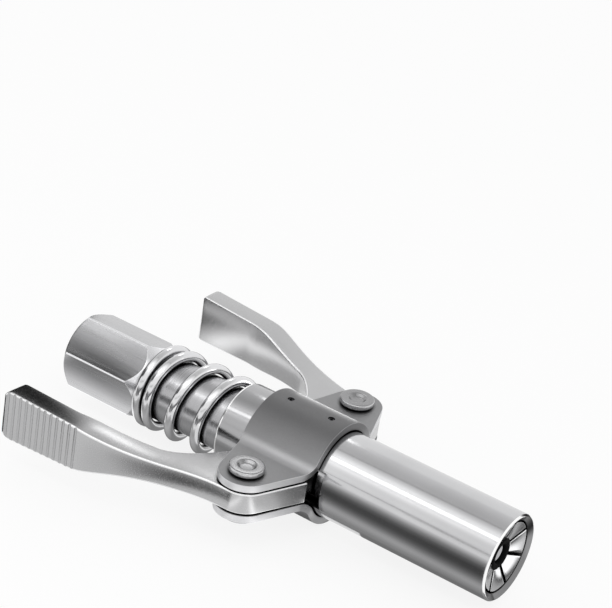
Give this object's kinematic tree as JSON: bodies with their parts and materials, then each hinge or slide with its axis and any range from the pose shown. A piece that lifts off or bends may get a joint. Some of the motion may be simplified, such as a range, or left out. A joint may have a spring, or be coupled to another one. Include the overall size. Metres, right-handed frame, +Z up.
{
  "type": "grease coupler",
  "caption": "Locking grease coupler: squeeze levers on a sprung sleeve open a ring of jaws that grips a grease nipple; threaded hexagon inlet at the other end.",
  "frame": {"origin": "centre of the inlet, on the rear face of the hexagon", "axes": "+X along the coupler from inlet to mouth, +Y out over the left lever, +Z up, square to the levers"},
  "size_m": [0.115, 0.0749, 0.024],
  "materials": {
    "hexagon_steel": "satin",
    "core_steel": "satin",
    "sleeve_steel": "polished",
    "saddle_sheet": "satin",
    "lever_steel": "satin",
    "rivet_steel": "satin",
    "spring_wire": "polished",
    "jaw_steel": "polished",
    "inner_steel": "satin",
    "black_rubber": "matte"
  },
  "bodies": {
    "core": {"hex_body": "hexagon_steel", "core_tube": "core_steel", "jaw_holder": "core_steel", "body_oring": "black_rubber", "check_spring": "inner_steel", "seal_spring": "inner_steel", "jaw_ring": "inner_steel", "return_spring": "spring_wire"},
    "sleeve": {"outer_sleeve": "sleeve_steel", "saddle_upper": "saddle_sheet", "saddle_lower": "saddle_sheet", "saddle_pins": "inner_steel", "rivet_left": "rivet_steel", "rivet_right": "rivet_steel"},
    "lever_left": {"lever_left": "lever_steel"},
    "lever_right": {"lever_right": "lever_steel"},
    "jaw_1": {"jaw_1": "jaw_steel"},
    "jaw_2": {"jaw_2": "jaw_steel"},
    "jaw_3": {"jaw_3": "jaw_steel"},
    "jaw_4": {"jaw_4": "jaw_steel"},
    "jaw_5": {"jaw_5": "jaw_steel"},
    "jaw_6": {"jaw_6": "jaw_steel"},
    "jaw_7": {"jaw_7": "jaw_steel"},
    "seal": {"seal_carrier": "core_steel", "carrier_oring": "black_rubber", "nozzle_seal": "black_rubber"},
    "check_ball": {"check_ball": "inner_steel"}
  },
  "joints": [
    {"name": "sleeve_slide", "type": "slide", "parent": "core", "child": "sleeve", "axis": [-1, 0, 0], "range_m": [0, 0.00298], "stiffness_N_per_m": 5000, "springref_m": -0.006, "deforming": ["return_spring"]},
    {"name": "lever_left_hinge", "type": "hinge", "parent": "sleeve", "child": "lever_left", "pos_m": [0.0611, 0.0211, 0], "axis": [0, 0, 1], "range_deg": [0, 11.05]},
    {"name": "lever_right_hinge", "type": "hinge", "parent": "sleeve", "child": "lever_right", "pos_m": [0.0611, -0.0211, 0], "axis": [0, 0, 1], "range_deg": [-11.05, 0]},
    {"name": "jaw_1_hinge", "type": "hinge", "parent": "core", "child": "jaw_1", "pos_m": [0.0925, 0.00353, 0.00522], "axis": [0, -0.8282, 0.5604], "range_deg": [0, 3.25]},
    {"name": "jaw_2_hinge", "type": "hinge", "parent": "core", "child": "jaw_2", "pos_m": [0.0925, -0.00188, 0.00601], "axis": [0, -0.9545, -0.2981], "range_deg": [0, 3.25]},
    {"name": "jaw_3_hinge", "type": "hinge", "parent": "core", "child": "jaw_3", "pos_m": [0.0925, -0.00587, 0.00228], "axis": [0, -0.3621, -0.9321], "range_deg": [0, 3.25]},
    {"name": "jaw_4_hinge", "type": "hinge", "parent": "core", "child": "jaw_4", "pos_m": [0.0925, -0.00545, -0.00317], "axis": [0, 0.503, -0.8643], "range_deg": [0, 3.25]},
    {"name": "jaw_5_hinge", "type": "hinge", "parent": "core", "child": "jaw_5", "pos_m": [0.0925, -0.00092, -0.00623], "axis": [0, 0.9893, -0.1456], "range_deg": [0, 3.25]},
    {"name": "jaw_6_hinge", "type": "hinge", "parent": "core", "child": "jaw_6", "pos_m": [0.0925, 0.0043, -0.0046], "axis": [0, 0.7307, 0.6827], "range_deg": [0, 3.25]},
    {"name": "jaw_7_hinge", "type": "hinge", "parent": "core", "child": "jaw_7", "pos_m": [0.0925, 0.00628, 0.00049], "axis": [0, -0.0782, 0.9969], "range_deg": [0, 3.25]},
    {"name": "seal_slide", "type": "slide", "parent": "core", "child": "seal", "axis": [-1, 0, 0], "range_m": [0, 0.003], "stiffness_N_per_m": 800, "springref_m": -0.003, "deforming": ["seal_spring"]},
    {"name": "ball_lift", "type": "slide", "parent": "core", "child": "check_ball", "axis": [1, 0, 0], "range_m": [0, 0.0012], "stiffness_N_per_m": 100, "springref_m": -0.002, "deforming": ["check_spring"]}
  ],
  "couplings": [
    {"joint": "lever_left_hinge", "follows": "sleeve_slide", "rad_per_m": 64.425},
    {"joint": "lever_right_hinge", "follows": "sleeve_slide", "rad_per_m": -64.425},
    {"joint": "jaw_1_hinge", "follows": "sleeve_slide", "rad_per_m": 18.742},
    {"joint": "jaw_2_hinge", "follows": "sleeve_slide", "rad_per_m": 18.742},
    {"joint": "jaw_3_hinge", "follows": "sleeve_slide", "rad_per_m": 18.742},
    {"joint": "jaw_4_hinge", "follows": "sleeve_slide", "rad_per_m": 18.742},
    {"joint": "jaw_5_hinge", "follows": "sleeve_slide", "rad_per_m": 18.742},
    {"joint": "jaw_6_hinge", "follows": "sleeve_slide", "rad_per_m": 18.742},
    {"joint": "jaw_7_hinge", "follows": "sleeve_slide", "rad_per_m": 18.742}
  ]
}
